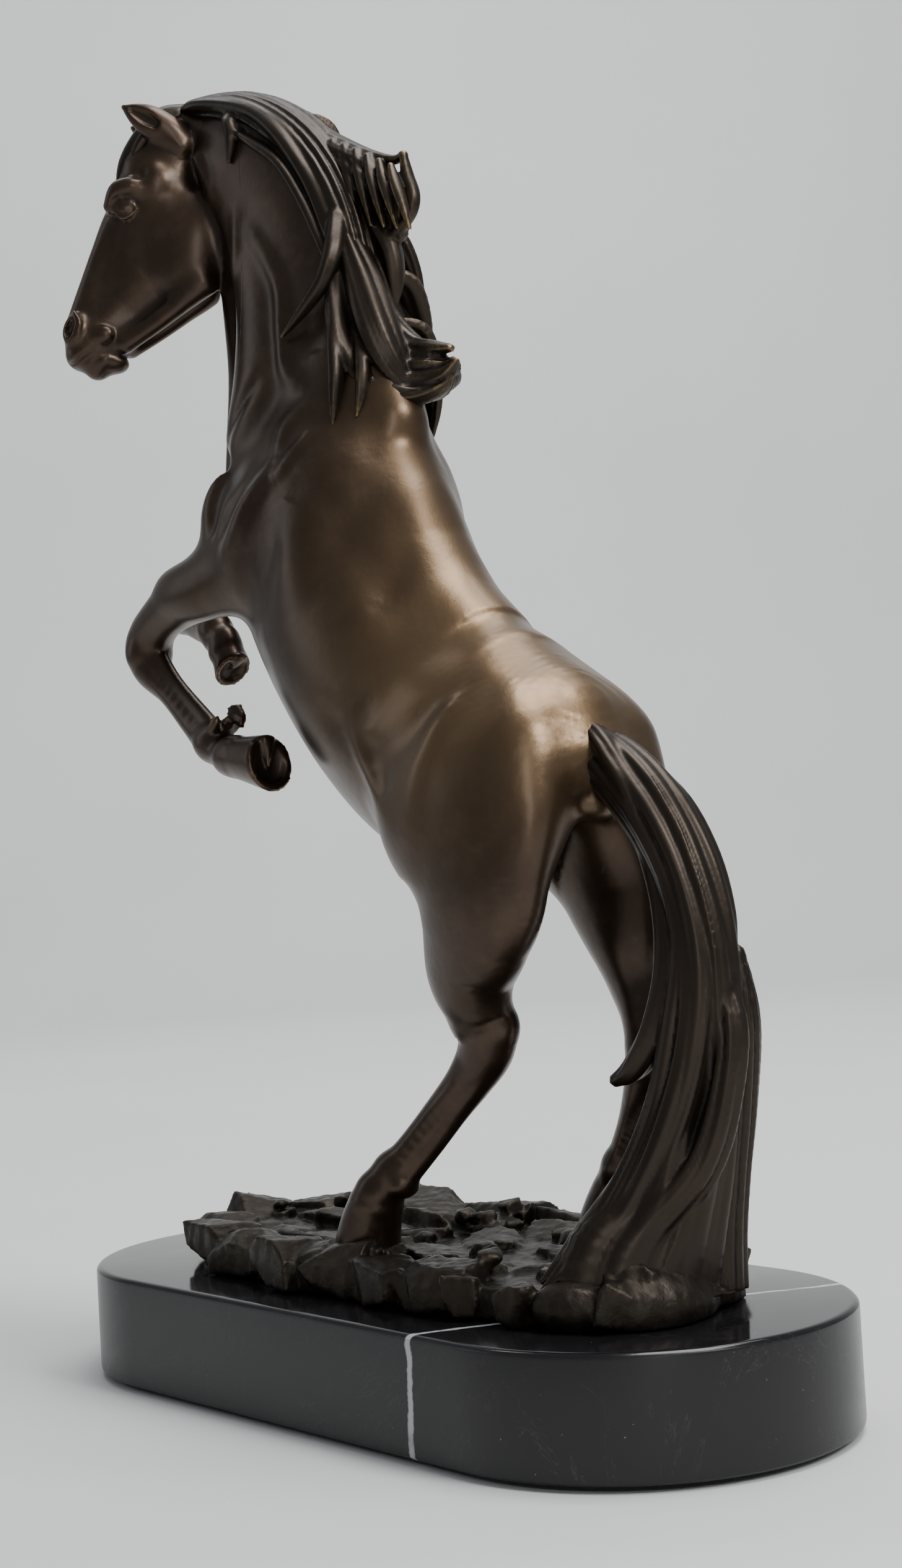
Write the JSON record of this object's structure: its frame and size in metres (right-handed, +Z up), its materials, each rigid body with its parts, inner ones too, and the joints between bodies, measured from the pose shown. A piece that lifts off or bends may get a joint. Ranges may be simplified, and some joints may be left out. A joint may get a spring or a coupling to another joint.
{
  "type": "rearing horse statuette",
  "caption": "Cast bronze statuette of a rearing horse with flowing mane and tail, standing on a rocky ground over an oval polished marble plinth.",
  "frame": {"origin": "centre of the underside of the felt, on the surface the statue stands on", "axes": "+Z up; the plinth is long in X; the horse faces -X with its left side towards -Y"},
  "size_m": [0.3254, 0.14, 0.4657],
  "materials": {
    "bronze": "satin brown patina",
    "dark_bronze": "dark brown patina, rubbed gold on the edges",
    "rock_bronze": "dull dark patina, rubbed edges",
    "marble": "polished",
    "felt": "matte felt",
    "steel": "zinc plated"
  },
  "bodies": {
    "root": {"torso": "bronze", "neck": "bronze", "head": "bronze", "left_ear": "bronze", "right_ear": "bronze", "left_foreleg": "bronze", "right_foreleg": "bronze", "left_hind_leg": "bronze", "right_hind_leg": "bronze", "mane_crest": "dark_bronze", "mane_flare": "dark_bronze", "mane_fall": "dark_bronze", "forelock": "dark_bronze", "tail": "dark_bronze", "tail_strand": "dark_bronze", "tail_far_lock": "dark_bronze", "rock_ground": "rock_bronze", "marble_plinth": "marble", "felt_sheet": "felt", "washer_1": "steel", "nut_1": "steel", "stud_1": "steel", "washer_2": "steel", "nut_2": "steel", "stud_2": "steel"}
  },
  "joints": []
}
